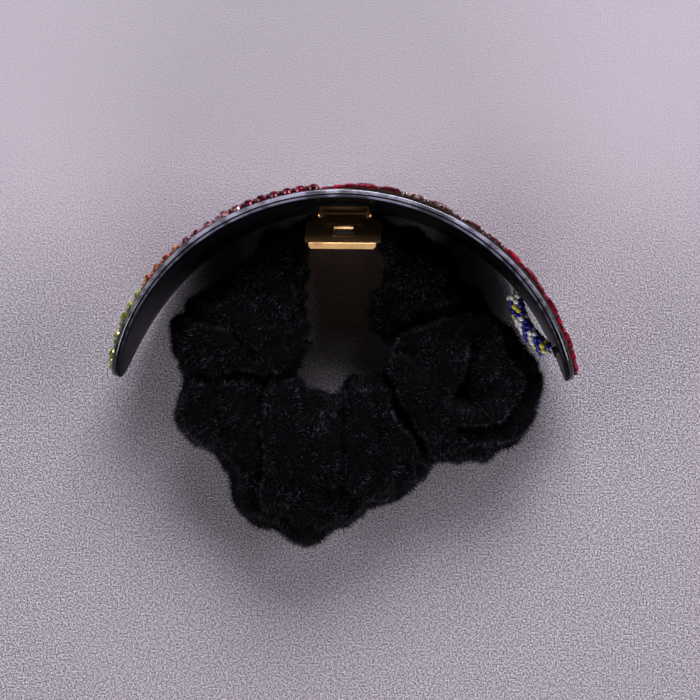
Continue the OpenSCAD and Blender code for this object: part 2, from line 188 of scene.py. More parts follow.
def dress(node, finish):
    """Gives a CAD node its finish."""
    mesh = frame["nodes"][node].data
    mesh.materials.clear()
    mesh.materials.append(finish.material)


def on_arch(angle, r, z):
    """The point at an angle in degrees from the crown, at radius r and height z."""
    turn = math.radians(angle)
    return Vector((r * math.sin(turn), ARCH_Y + r * math.cos(turn), z))


def oval_outline(end_steps=26, middle_steps=60):
    """One long side of the cover's outline as (angle, share of the full width), tip to tip."""
    reach = HALF_ANGLE - STRAIGHT_ANGLE
    turns = [math.pi / 2 * i / end_steps for i in range(end_steps, 0, -1)]
    left = [(-STRAIGHT_ANGLE - reach * math.sin(t), math.cos(t)) for t in turns]
    middle = [(STRAIGHT_ANGLE * (2 * i / middle_steps - 1), 1.0) for i in range(middle_steps + 1)]
    right = [(-angle, share) for angle, share in reversed(left)]
    return left + middle + right


def bent_plate(r_low, r_high):
    """A ply between two radii: rounded rims, with its two faces as rows of quads across the width."""
    side = [(math.radians(a) * ARCH_R, COVER_W / 2 * share) for a, share in oval_outline()]
    ring = side + [(s, -v) for s, v in side[-2:0:-1]]
    count = len(ring)
    last = len(side) - 1
    outward = []
    for i in range(count):
        before, after = ring[i - 1], ring[(i + 1) % count]
        step = Vector((after[0] - before[0], after[1] - before[1])).normalized()
        outward.append((-step.y, step.x))
    corner = [math.pi / 2 * k / 6 for k in range(7)]
    rim = 0.46 * (r_high - r_low)
    low = [(rim * (1 - math.sin(t)), r_low + rim * (1 - math.cos(t))) for t in corner]
    high = [(inset, r_low + r_high - r) for inset, r in reversed(low)]
    vertices = []

    def put(s, v, r):
        vertices.append(on_arch(math.degrees(s / ARCH_R), r, COVER_W / 2 + v))
        return len(vertices) - 1

    levels = []
    for inset, r in low + high:
        moved = [(s - n[0] * inset, v - n[1] * inset) for (s, v), n in zip(ring, outward)]
        levels.append([put(s, v, r) for s, v in moved])
    faces = [
        (a[i], a[(i + 1) % count], b[(i + 1) % count], b[i])
        for a, b in zip(levels, levels[1:])
        for i in range(count)
    ]
    rows = 8
    for level, (inset, r), flip in ((levels[0], low[0], True), (levels[-1], high[-1], False)):
        columns = []
        for i in range(1, last):
            (s, v), n = ring[i], outward[i]
            s, v = s - n[0] * inset, v - n[1] * inset
            inner = [put(s, v * (1 - 2 * k / rows), r) for k in range(1, rows)]
            columns.append([level[i], *inner, level[count - i]])
        strips = [
            (a[k], b[k], b[k + 1], a[k + 1])
            for a, b in zip(columns, columns[1:])
            for k in range(rows)
        ]
        for tip, column in ((level[0], columns[0]), (level[last], columns[-1][::-1])):
            strips += [(tip, column[k], column[k + 1]) for k in range(rows)]
        faces += [f[::-1] for f in strips] if flip else strips
    return vertices, faces


def acetate_finish(name, edge, shine):
    finish = Finish(name, Specular_IOR_Level=0.5 * shine, Coat_Weight=0.6 * shine, Coat_Roughness=0.05)
    # Painted light: the sawn edge fades from light at the crown to dark at the tips, and streaks of
    # painted highlight run along it. Its greyer, rougher matte is the edge's own.
    sawn_edge_crown_lit = finish.facing_up().rise(0.55, 0.95) * finish.from_crown().rise(1.15, 0.45)
    edge_highlight_streaks = finish.grain(1.6, 4, (0.35, 0.35, 3)).rise(0.38, 0.6)
    smudge = finish.grain(9, 4).rise(0.45, 0.75)
    scratch = finish.grain(0.5, 2, (0.12, 0.12, 2.5)).rise(0.62, 0.72)
    finish.drive(
        Base_Color=(sawn_edge_crown_lit * (0.25 + 0.75 * edge_highlight_streaks)).blend(rgb(0.006, 0.006, 0.008), edge),
        Roughness=0.3 - 0.2 * shine + 0.1 * smudge + 0.25 * sawn_edge_crown_lit + 0.06 * scratch,
    )
    return finish.bump(finish.grain(14, 1) + 0.02 * scratch, 0.12)


outer_finish = acetate_finish("acetate_outer", rgb(0.40, 0.39, 0.50), 1.0)
inner_finish = acetate_finish("acetate_lining", rgb(0.22, 0.22, 0.30), 0.1)
add_piece("cover_shell", *bent_plate(ARCH_R - OUTER_PLY, ARCH_R), outer_finish,
          "cover", ["cover_outer_ply"], "cover_black")
add_piece("cover_lining", *bent_plate(INSIDE_R, ARCH_R - OUTER_PLY), inner_finish,
          "cover", ["cover_inner_ply"], "lining_black")


# ---- Stones ------------------------------------------------------------------------------------
# Foil-backed glass: small round brilliants glued flat on the left half, and step-cut stones held in
# stamped cups on the right half. They are set by hand, so no two sit quite alike.
GLUE = 0.05
CUP_FLOOR = 0.2
STEP_LEN = 4.9
STEP_WID = 2.9
STEP_HIGH = 1.35
ROUND_R = 1.35
ROUND_HIGH = 1.3
STONE_COLOURS = {
    "lime": (rgb(0.25, 0.30, 0.03), rgb(0.85, 0.90, 0.42)),
    "amber": (rgb(0.36, 0.06, 0.02), rgb(0.95, 0.55, 0.32)),
    "rose": (rgb(0.20, 0.04, 0.07), rgb(0.90, 0.58, 0.62)),
    "garnet": (rgb(0.045, 0.002, 0.008), rgb(0.42, 0.03, 0.08)),
    "ruby": (rgb(0.14, 0.002, 0.012), rgb(0.80, 0.03, 0.10)),
    "blush": (rgb(0.16, 0.05, 0.06), rgb(0.95, 0.80, 0.80)),
}


def islands(node):
    """The corner points, in millimetres, of each separate solid in a CAD node."""
    mesh = frame["nodes"][node].data
    points = np.empty(len(mesh.vertices) * 3)
    mesh.vertices.foreach_get("co", points)
    points, merged = np.unique(points.reshape(-1, 3).round(7), axis=0, return_inverse=True)
    edges = np.empty(len(mesh.edges) * 2, int)
    mesh.edges.foreach_get("vertices", edges)
    ends = merged.ravel()[edges].reshape(-1, 2)
    label = np.arange(len(points))
    while True:
        lowest = label[ends].min(1)
        new = label.copy()
        np.minimum.at(new, ends[:, 0], lowest)
        np.minimum.at(new, ends[:, 1], lowest)
        if (new == label).all():
            break
        label = new
    return [points[label == k] / MM for k in np.unique(label)]


def brilliant():
    """A round stone: table, star and kite facets over a 16-sided girdle."""
    def ring(count, r, z, turn=0.0):
        steps = [2 * math.pi * (k + turn) / count for k in range(count)]
        return [(r * math.cos(t), r * math.sin(t), z) for t in steps]

    vertices = ring(8, 0.56 * ROUND_R, ROUND_HIGH) + ring(8, 0.80 * ROUND_R, 0.78 * ROUND_HIGH, 0.5)
    vertices += ring(16, ROUND_R, 0.42 * ROUND_HIGH) + ring(16, 0.96 * ROUND_R, 0)
    faces = [tuple(range(8)), tuple(range(47, 31, -1))]
    for i in range(8):
        j = (i + 1) % 8
        a, b, c = 16 + 2 * i, 17 + 2 * i, 16 + (2 * i + 2) % 16
        faces += [(i, 8 + i, j), (i, 8 + (i - 1) % 8, a, 8 + i), (8 + i, a, b), (8 + i, b, c)]
    faces += [(16 + k, 32 + k, 32 + (k + 1) % 16, 16 + (k + 1) % 16) for k in range(16)]
    return vertices, faces


def step_cut():
    """A long stone with clipped corners and two sloping steps below its table."""
    def ring(inset, z):
        x, y, clip = STEP_LEN / 2 - inset, STEP_WID / 2 - inset, 0.35
        corners = [(x, y - clip), (x - clip, y), (clip - x, y), (-x, y - clip)]
        return [(a, b, z) for a, b in corners + [(-a, -b) for a, b in corners]]

    levels = [(0.06, 0), (0, 0.5 * STEP_HIGH), (0.38, 0.8 * STEP_HIGH), (0.8, STEP_HIGH)]
    vertices = [v for inset, z in levels for v in ring(inset, z)]
    faces = [
        (8 * k + i, 8 * k + (i + 1) % 8, 8 * k + 8 + (i + 1) % 8, 8 * k + 8 + i)
        for k in range(3)
        for i in range(8)
    ]
    return vertices, faces + [tuple(range(24, 32)), tuple(range(7, -1, -1))]


def seat(angle, z, r, tilt, spin):
    """Places a stone on the arch, its table facing out, tilted a little and turned on its axis."""
    turn = math.radians(angle)
    along = Vector((math.cos(turn), -math.sin(turn), 0))
    out = Vector((math.sin(turn), math.cos(turn), 0))
    frame_of_place = Matrix((along, Vector((0, 0, -1)), out)).transposed().to_4x4()
    lean = Matrix.Rotation(tilt[0], 4, "X") @ Matrix.Rotation(tilt[1], 4, "Y")
    return (Matrix.Translation(on_arch(angle, r, z)) @ frame_of_place @ lean
            @ Matrix.Rotation(spin, 4, "Z"))


def set_stones(colour, luck):
    """One piece for all the stones of a colour; each facet gets its own painted flash of light and each
    stone a tint.
    """
    vertices, faces, painted_flash, tint = [], [], [], []
    for solid in islands("stones_" + colour):
        middle = solid.mean(0)
        angle = math.degrees(math.atan2(middle[0], middle[1] - ARCH_Y))
        long_stone = np.linalg.norm(np.ptp(solid[:, :2], axis=0)) > 1.4 * 2 * ROUND_R
        shape, base = (step_cut(), GLUE + CUP_FLOOR) if long_stone else (brilliant(), GLUE)
        tilt = (luck.gauss(0, 0.02), luck.gauss(0, 0.02))
        spin = 0.0 if long_stone else luck.uniform(0, math.pi)
        place = seat(angle, middle[2], ARCH_R + base, tilt, spin)
        start = len(vertices)
        vertices += [place @ Vector(v) for v in shape[0]]
        faces += [tuple(start + i for i in face) for face in shape[1]]
        own = luck.random()
        painted_flash += [luck.random() for _ in shape[1]]
        tint += [own] * len(shape[1])
    deep, bright = STONE_COLOURS[colour]
    finish = Finish("glass_" + colour, Metallic=0.55, Coat_Weight=1.0, Coat_Roughness=0.02,
                    Specular_IOR_Level=0.8)
    # Painted highlight: the base colour is lighter on facets with a strong painted flash and in patches
    # of painted glints. The tint of each stone is its own tone.
    painted_sparkle = finish.attribute("painted_flash")
    painted_glints = finish.grain(0.9, 3).rise(0.44, 0.6)
    light = 0.55 * painted_sparkle ** 1.6 + 0.35 * finish.attribute("tint") + 0.5 * painted_glints - 0.25
    finish.drive(Base_Color=light.rise(0.05, 0.95).blend(deep, bright), Roughness=0.05 + 0.1 * painted_sparkle)
    piece = add_piece("rhinestones_" + colour, vertices, faces, finish, "cover",
                      ["stones_" + colour], "glass_" + colour, smooth=False)
    for name, values in (("painted_flash", painted_flash), ("tint", tint)):
        piece.data.attributes.new(name, "FLOAT", "FACE").data.foreach_set("value", values)
    return piece


stone_luck = random.Random(5)
for stone_colour in STONE_COLOURS:
    set_stones(stone_colour, stone_luck)

cup_finish = Finish("stamped_cup", Metallic=0.9)
cup_tarnish = cup_finish.grain(2.2, 4)
cup_finish.drive(
    Base_Color=cup_tarnish.blend(rgb(0.012, 0.009, 0.008), rgb(0.16, 0.12, 0.10)),
    Roughness=0.3 + 0.3 * cup_tarnish,
)
dress("stone_cups", cup_finish)


# ---- Clip --------------------------------------------------------------------------------------
# Stamped gilt steel: a flat fixed jaw glued to the lining on a dark pad, and a toothed moving jaw
# whose lever is bent up, pierced by a window and curled at its lip. A pin and a leaf spring join them.
HINGE = Vector(frame["record"]["behaviour"]["joints"][0]["pos_m"]) / MM
SHEET = 0.6
THROAT = 1.9
SIDE_GAP = 0.1
JAW_W = 10.4
JAW_LEN = 20.0
TAIL_W = 17.6
NECK_HALF = JAW_W / 2 + SIDE_GAP + SHEET
EAR_R = THROAT / 2 + SHEET
MOVING_EAR_R = EAR_R - 0.25
BEND_AT = EAR_R + SIDE_GAP
LEVER_LEN = 13.3
LEVER_ANGLE = 30.0
LIP_ANGLE = 52.0
LIP_LEN = 1.5
FIXED_TAIL = 4.2
WINDOW_W = 4.6
WINDOW_LEN = 5.0
WINDOW_FROM = 4.9
# The pressed rim round the window: its width and how far it stands off the lever's middle
WINDOW_RIM = 0.32
RIM_OUT = 0.12
RIM_IN = 0.2
TOOTH = 1.3
TEETH = 9
TEETH_FROM = 6.15
TOOTH_ROOT = 0.05
EDGE_ROUND = 0.11


def in_clip(x, y, z):
    """From the clip's own frame, pin at the middle and fingers along +y, to the row's frame."""
    return HINGE + Vector((x, -z, y))


def rounded_line(points, radii, steps=6):
    """A line through the points with each inner corner rounded off."""
    made = [Vector(points[0])]
    for before, corner, after, r in zip(points, points[1:], points[2:], radii):
        corner = Vector(corner)
        a = (Vector(before) - corner).normalized()
        b = (Vector(after) - corner).normalized()
        reach = r / math.tan(a.angle(b) / 2)
        for k in range(steps + 1):
            t = k / steps
            made.append(corner + a * reach * (1 - t) ** 2 + b * reach * t ** 2)
    return made + [Vector(points[-1])]


def refine(line, pitch):
    """The same line with extra points, so that no two are further apart than pitch."""
    made = [line[0]]
    for a, b in zip(line, line[1:]):
        parts = max(1, math.ceil((b - a).length / pitch))
        made += [a.lerp(b, k / parts) for k in range(1, parts + 1)]
    return made


def pressed_sheet(line, widths, window=None):
    """A strip along a line seen from the side, as wide as widths says, with an optional window."""
    line = refine(line, 0.35)
    travel = [0.0]
    for a, b in zip(line, line[1:]):
        travel.append(travel[-1] + (b - a).length)
    places, half_widths = zip(*widths)
    columns = [-1, -0.8, -0.6, None, -0.12, 0.12, None, 0.6, 0.8, 1]
    vertices, rows = [], []
    for point, s in zip(line, travel):
        half = float(np.interp(s, places, half_widths))
        edge = min(WINDOW_W / 2, 0.5 * half)
        xs = [c * half if c is not None else None for c in columns]
        xs[3], xs[6] = -edge, edge
        rows.append(range(len(vertices), len(vertices) + len(xs)))
        vertices += [in_clip(x, point.x, point.y) for x in xs]
    faces = []
    for i, (a, b) in enumerate(zip(rows, rows[1:])):
        inside = window and window[0] <= (travel[i] + travel[i + 1]) / 2 <= window[1]
        for k in range(len(columns) - 1):
            if not (inside and 3 <= k <= 5):
                faces.append((a[k], b[k], b[k + 1], a[k + 1]))
    return vertices, faces


def prism(outline, x0, x1):
    """A flat outline seen from the side, given as (y, z), with a thickness from x0 to x1."""
    count = len(outline)
    vertices = [in_clip(x, y, z) for x in (x0, x1) for y, z in outline]
    walls = [(i, (i + 1) % count, count + (i + 1) % count, count + i) for i in range(count)]
    return vertices, walls + [tuple(range(count - 1, -1, -1)), tuple(range(count, 2 * count))]


def ear(r, top):
    """The outline of an ear: round at the pin and square where it meets the plate at height top."""
    turns = [math.radians(180 + 180 * k / 16) for k in range(17)]
    if top < 0:
        turns = [math.radians(180 * k / 16) for k in range(17)]
        return [(-r, top)] + [(r, top)] + [(r * math.cos(t), r * math.sin(t)) for t in turns]
    return [(r, top), (-r, top)] + [(r * math.cos(t), r * math.sin(t)) for t in turns]


def stamped_jaw(name, body, node, sheet, sides):
    """One jaw: its pressed sheet, which gets its thickness and rounded edges here, and its sides."""
    plate = add_piece(name, *sheet, gilt, body, [node], "gilt", smooth=False)
    thicken = plate.modifiers.new("thickness", "SOLIDIFY")
    thicken.thickness = SHEET * MM
    thicken.offset = -1.0
    round_off = plate.modifiers.new("edges", "BEVEL")
    round_off.width = EDGE_ROUND * MM
    round_off.segments = 2
    round_off.limit_method = "ANGLE"
    round_off.angle_limit = math.radians(50)
    vertices, faces = [], []
    for side_vertices, side_faces in sides:
        start = len(vertices)
        vertices += side_vertices
        faces += [tuple(start + i for i in face) for face in side_faces]
    add_piece(name + "_sides", vertices, faces, gilt, body, [node], "gilt", smooth=False)


def gilt_finish(name, bright, dull, roughness):
    finish = Finish(name, Metallic=1.0)
    brushed = finish.grain(0.6, 3, (3.0, 0.25, 0.25))
    stain = finish.grain(5, 4).rise(0.35, 0.75)
    finish.drive(
        Base_Color=(0.6 * stain + 0.4 * brushed).blend(bright, dull),
        Roughness=roughness + 0.12 * brushed + 0.12 * stain,
    )
    return finish.bump(brushed, 0.01)


gilt = gilt_finish("gilt_steel", rgb(0.80, 0.57, 0.31), rgb(0.30, 0.17, 0.07), 0.36)

lever_rise = math.radians(LEVER_ANGLE)
lip_rise = math.radians(LEVER_ANGLE + LIP_ANGLE)
bend = Vector((BEND_AT, THROAT / 2))
lever_end = bend + LEVER_LEN * Vector((math.cos(lever_rise), math.sin(lever_rise)))
lever_way = (lever_end - bend).normalized()
lip_end = lever_end + LIP_LEN * Vector((math.cos(lip_rise), math.sin(lip_rise)))
moving_line = rounded_line([(-JAW_LEN, THROAT / 2), bend, lever_end, lip_end], [0.8, 0.5])
bend_s = JAW_LEN + BEND_AT
lip_s = bend_s + LEVER_LEN
# Places along each strip from its tip, with its half width there; the tips' corners are rounded off
rounded_tip = [(0, JAW_W / 2 - 2), (0.6, JAW_W / 2 - 0.6), (2, JAW_W / 2)]
moving_widths = rounded_tip + [
    (bend_s - 0.3, JAW_W / 2), (bend_s, NECK_HALF), (bend_s + TAIL_W / 2 - NECK_HALF, TAIL_W / 2),
    (lip_s - 1.4, TAIL_W / 2), (lip_s - 0.2, TAIL_W / 2 - 1), (lip_s + LIP_LEN - 0.7, TAIL_W / 2 - 1),
    (lip_s + LIP_LEN, TAIL_W / 2 - 1.6),
]
window_s = bend_s + WINDOW_FROM


def lever_point(s, high):
    """A point of the lever seen from the side: s along it from its bend and high above its face."""
    across = Vector((-lever_way.y, lever_way.x))
    return tuple(bend + lever_way * s + across * high)


def window_frame():
    """The pressed rim round the lever's window, on the side that faces the fixed jaw."""
    solids = []
    x, a, b = WINDOW_W / 2, WINDOW_FROM, WINDOW_FROM + WINDOW_LEN
    wide, low, high = x + WINDOW_RIM, a - WINDOW_RIM, b + WINDOW_RIM
    strips = ((-wide, wide, low, a), (-wide, wide, b, high), (-wide, -x, a, b), (x, wide, a, b))
    for x0, x1, s0, s1 in strips:
        corners = ((s0, -RIM_OUT), (s1, -RIM_OUT), (s1, RIM_IN), (s0, RIM_IN))
        solids.append(prism([lever_point(*corner) for corner in corners], x0, x1))
    return solids


def teeth():
    """The toothed lower edge of the moving jaw, from the throat to the tip."""
    top = (THROAT + SHEET) / 2
    last = -TEETH_FROM - TEETH * TOOTH
    outline = [(-TEETH_FROM, top)]
    for i in range(TEETH):
        here = -TEETH_FROM - i * TOOTH
        outline += [(here, TOOTH_ROOT), (here - TOOTH / 2, SIDE_GAP - THROAT / 2)]
    return outline + [(last, TOOTH_ROOT), (last, top)]


def both_sides(outline, x0, x1):
    return [prism(outline, x0, x1), prism(outline[::-1], -x0, -x1)]


moving_sides = both_sides(ear(MOVING_EAR_R, (THROAT + SHEET) / 2), JAW_W / 2 - SHEET, JAW_W / 2)
moving_sides += both_sides(teeth(), JAW_W / 2 - SHEET, JAW_W / 2) + window_frame()
stamped_jaw("lever_plate", "lever", "moving_jaw",
            pressed_sheet(moving_line, moving_widths, (window_s, window_s + WINDOW_LEN)), moving_sides)

fixed_line = [Vector((-JAW_LEN, -THROAT / 2 - SHEET)), Vector((FIXED_TAIL, -THROAT / 2 - SHEET))]
fixed_widths = rounded_tip + [
    (JAW_LEN - EAR_R - 0.2, JAW_W / 2), (JAW_LEN - EAR_R, NECK_HALF), (JAW_LEN + FIXED_TAIL, NECK_HALF),
]
stamped_jaw("fixed_plate", "cover", "fixed_jaw", pressed_sheet(fixed_line, fixed_widths),
            both_sides(ear(EAR_R, -THROAT / 2 - SHEET / 2), NECK_HALF - SHEET, NECK_HALF))

# Painted highlight: the pin's gilt is painted brighter and more orange than the plates' gilt, standing
# in for the lit strip at the hinge.
dress("hinge_pin", gilt_finish("pin_wire_painted_bright", rgb(1.0, 0.66, 0.30), rgb(0.80, 0.42, 0.14), 0.42))
dress("leaf_spring", gilt_finish("spring_strip", rgb(0.55, 0.38, 0.20), rgb(0.30, 0.19, 0.10), 0.42))

pad_finish = Finish("foam_pad", Base_Color=rgb(0.012, 0.02, 0.018), Roughness=0.75)
pad_finish.bump(pad_finish.grain(0.5, 4), 0.15)
dress("clip_pad", pad_finish)


# ---- Scrunchie ---------------------------------------------------------------------------------
# A tube of long-pile black plush gathered on a ring of round elastic. The gathers puff it out into
# soft lobes with deep folds between them; the elastic is bare where the clip's throat holds it.
VELVET_TOP = 29.8
VELVET_FOOT = 1.2
WALL_GAP = 1.0
# The pile: how many hairs, their usual length and radius, how deep their roots sit, and how far
# above the table their tips stay
PILE_COUNT = 64000
PILE_LONG = 1.3
HAIR_R = 0.085
ROOT_DEEP = 0.3
ABOVE_TABLE = 0.3
# The gathers fan out from the ring's middle: how many, and how far out they fade
RING_MIDDLE = (-1.0, -28.0)
GATHERS = 17
GATHER_REACH = 32
# How high the gathers stand, and the soft dents and small crumples between them with their sizes
GATHER_HIGH = 0.6
DENT_HIGH, DENT_SIZE = 1.9, 9
CRUMPLE_HIGH, CRUMPLE_SIZE = 1.1, 4
# Height from which the folds begin to be pressed in, and over which they deepen
FOLD_FROM = 14
FOLD_OVER = 8
# The skin starts slack, as a share of the lobes' sizes, and swells as cloth by up to a set distance
SLACK = 0.99
CLOTH_FACE = 2.2
CLOTH_PRESSURE = 400
CLOTH_STEPS = 15
CLOTH_MOVE = 1.6
SKIN_FACE = 0.85
# Each lobe's middle, its three half sizes and its turn in degrees about the arch's axis
LOBES = [
    ((-7.6, -5.0, 19.0), (2.6, 2.4, 2.6), 0), ((-12.0, -8.6, 18.4), (4.2, 3.6, 4.6), 35),
    ((-17.0, -14.2, 17.0), (7.6, 6.4, 8.0), 40), ((-21.5, -22.5, 16.0), (11.6, 9.6, 12.0), 45),
    ((-26.0, -32.8, 16.0), (16.4, 13.0, 13.6), 8), ((-15.5, -33.0, 13.0), (6.2, 10.0, 11.0), 0),
    ((-32.5, -42.0, 13.0), (8.4, 8.0, 11.0), 0), ((-29.6, -51.0, 14.4), (12.0, 10.4, 14.0), 25),
    ((-21.6, -58.0, 14.0), (10.4, 11.4, 13.4), 35), ((-12.6, -60.0, 15.4), (13.2, 17.4, 14.4), 0),
    ((-18.8, -71.6, 13.0), (8.0, 9.0, 12.0), 0), ((-8.0, -75.6, 12.8), (8.2, 8.0, 12.0), 0),
    ((-1.0, -72.0, 12.0), (7.0, 8.0, 11.0), 0),
    ((6.2, -58.5, 15.4), (12.6, 17.0, 14.6), 0), ((14.0, -62.0, 13.0), (7.4, 9.2, 12.0), 0),
    ((28.8, -45.6, 15.6), (19.4, 18.2, 14.4), 0), ((28.0, -31.0, 13.0), (15.5, 10.0, 12.0), -40),
    ((17.8, -26.8, 12.0), (9.4, 12.0, 10.4), 0),
    ((20.5, -18.6, 15.4), (11.5, 8.6, 10.6), -48), ((15.2, -11.0, 17.2), (6.6, 5.6, 7.0), -40),
    ((9.2, -5.2, 19.0), (2.8, 2.6, 2.8), 0),
]
# Folds pressed into the plush: points of each one's line from above, its depth and half width
FOLDS = [
    ([(-33.0, -43.6), (-27.4, -43.0), (-10.5, -42.6)], 3.2, 1.2),
    ([(-18.9, -44.6), (-19.7, -55.4), (-18.6, -65.0), (-20.5, -73.0)], 3.0, 0.9),
    ([(0.1, -43.4), (0.6, -55.4), (0.3, -65.0), (2.2, -73.2)], 4.0, 1.0),
    ([(8.6, -35.2), (10.2, -42.2), (13.1, -49.4), (18.4, -57.8), (21.4, -64.0)], 5.5, 1.3),
    ([(9.5, -34.2), (18.4, -28.5), (30.4, -25.6), (39.2, -27.6)], 5.0, 1.5),
    ([(31.6, -34.2), (30.6, -40.8), (28.4, -46.6)], 7.0, 1.6),
    ([(37.6, -35.0), (44.0, -41.4), (43.6, -48.2), (37.6, -53.6), (28.4, -55.0)], 5.0, 1.1),
    ([(-38.0, -27.6), (-27.0, -31.0), (-21.0, -37.0)], 2.6, 1.2),
    ([(-30.5, -46.0), (-28.0, -54.0), (-30.0, -60.0)], 3.0, 1.1),
    ([(-9.5, -46.0), (-8.4, -54.0), (-10.0, -63.0), (-13.0, -78.0)], 1.8, 1.2),
    ([(8.6, -46.0), (9.4, -55.0), (8.0, -66.0)], 1.6, 1.2),
]
# The twist in the right lobe: its middle, how wide and deep its pit is, and its spiral's height
TWIST = (28.8, -47.4)
TWIST_WIDE = 3.6
TWIST_DEEP = 9.0
SPIRAL_HIGH = 1.5


def melted(rough, voxel, rounds):
    """A mesh remade as one closed skin of even faces, voxel millimetres across, and smoothed."""
    holder = bpy.data.objects.new("melted", rough)
    bpy.context.scene.collection.objects.link(holder)
    melt = holder.modifiers.new("melt", "REMESH")
    melt.mode = "VOXEL"
    melt.voxel_size = voxel * MM
    relax = holder.modifiers.new("relax", "SMOOTH")
    relax.factor = 0.5
    relax.iterations = rounds
    skin = bpy.data.meshes.new_from_object(holder.evaluated_get(bpy.context.evaluated_depsgraph_get()))
    bpy.data.objects.remove(holder)
    return skin


def lobes_mesh():
    """The lobes, a little slack, melted into one skin."""
    build = bmesh.new()
    for middle, half_sizes, turn in LOBES:
        place = Matrix.Translation(middle) @ Matrix.Rotation(math.radians(turn), 4, "Z")
        slack_sizes = [SLACK * half for half in half_sizes]
        bmesh.ops.create_icosphere(build, subdivisions=4, radius=1.0,
                                   matrix=place @ Matrix.Diagonal((*slack_sizes, 1)))
    rough = bpy.data.meshes.new("lobes")
    build.to_mesh(rough)
    build.free()
    rough.transform(Matrix.Scale(MM, 4))
    return melted(rough, CLOTH_FACE, 2)


def blow_up(skin):
    """Lets the skin swell as stuffed cloth does, so that it pulls tight over and between the lobes."""
    holder = bpy.data.objects.new("swelling", skin)
    bpy.context.scene.collection.objects.link(holder)
    cloth = holder.modifiers.new("cloth", "CLOTH")
    cloth.settings.use_pressure = True
    cloth.settings.uniform_pressure_force = CLOTH_PRESSURE
    cloth.settings.effector_weights.gravity = 0
    for step in range(1, CLOTH_STEPS + 1):
        bpy.context.scene.frame_set(step)
    swollen = bpy.data.meshes.new_from_object(
        holder.evaluated_get(bpy.context.evaluated_depsgraph_get()))
    bpy.data.objects.remove(holder)
    bpy.context.scene.frame_set(1)
    before = points_and_normals(skin)[0]
    move = points_and_normals(swollen)[0] - before
    far = np.linalg.norm(move, axis=1, keepdims=True)
    move *= np.minimum(1, CLOTH_MOVE / np.maximum(far, CLOTH_MOVE))
    skin.vertices.foreach_set("co", ((before + move) * MM).ravel())
    skin.update()


def points_and_normals(mesh):
    points = np.empty(len(mesh.vertices) * 3)
    mesh.vertices.foreach_get("co", points)
    normals = np.empty(len(mesh.vertices) * 3)
    mesh.vertex_normals.foreach_get("vector", normals)
    return points.reshape(-1, 3) / MM, normals.reshape(-1, 3)


def crumple(points, size, seed):
    """Smooth noise at each point, from about -1 to 1, with features size millimetres across."""
    shift = Vector((seed, 2.7 * seed, 5.1 * seed))
    return np.array([noise.noise(Vector(p) / size + shift) for p in points])


def away_from_line(x, y, line):
    """Distance from each place (x, y) to a line through several points."""
    best = np.full(len(x), np.inf)
    for (x0, y0), (x1, y1) in zip(line, line[1:]):
        dx, dy = x1 - x0, y1 - y0
        share = np.clip(((x - x0) * dx + (y - y0) * dy) / (dx * dx + dy * dy), 0, 1)
        best = np.minimum(best, np.hypot(x - x0 - share * dx, y - y0 - share * dy))
    return best


def sculpt(mesh):
    """Presses folds, gathers and the twist into the skin, and keeps it clear of floor and cover."""
    points, normals = points_and_normals(mesh)
    x, y = points[:, 0], points[:, 1]
    bearing = np.arctan2(y - RING_MIDDLE[1], x - RING_MIDDLE[0])
    reach = np.hypot(x - RING_MIDDLE[0], y - RING_MIDDLE[1])
    fade = np.clip(1.4 - reach / GATHER_REACH, 0.15, 1)
    gathers = np.sin(GATHERS * bearing + 1.6 * crumple(points, 16, 1)) * fade
    lift = GATHER_HIGH * gathers + DENT_HIGH * crumple(points, DENT_SIZE, 2)
    lift += CRUMPLE_HIGH * crumple(points, CRUMPLE_SIZE, 3)
    from_twist = np.hypot(x - TWIST[0], y - TWIST[1])
    spiral = np.sin(2 * np.arctan2(y - TWIST[1], x - TWIST[0]) - 0.55 * from_twist)
    near = np.exp(-((from_twist / (2.6 * TWIST_WIDE)) ** 2))
    upper = np.clip((points[:, 2] - FOLD_FROM) / FOLD_OVER, 0, 1)
    pit = TWIST_DEEP * np.exp(-((from_twist / TWIST_WIDE) ** 2)) * upper
    waver = 1.2 * crumple(points, 5, 4)
    for line, depth, half in FOLDS:
        away = away_from_line(x + waver, y, line)
        lift -= depth * np.exp(-((away / half) ** 2)) * upper
        lift += 0.3 * depth * np.exp(-(((away - 2.2 * half) / half) ** 2)) * upper
    points = points + normals * (lift + SPIRAL_HIGH * spiral * near * upper)[:, None]
    points[:, 2] = np.clip(points[:, 2] - pit, VELVET_FOOT, VELVET_TOP)
    r = np.hypot(points[:, 0], points[:, 1] - ARCH_Y)
    pull = np.minimum(1, (INSIDE_R - WALL_GAP) / r)
    points[:, 0] *= pull
    points[:, 1] = ARCH_Y + (points[:, 1] - ARCH_Y) * pull
    mesh.vertices.foreach_set("co", (points * MM).ravel())
    mesh.update()


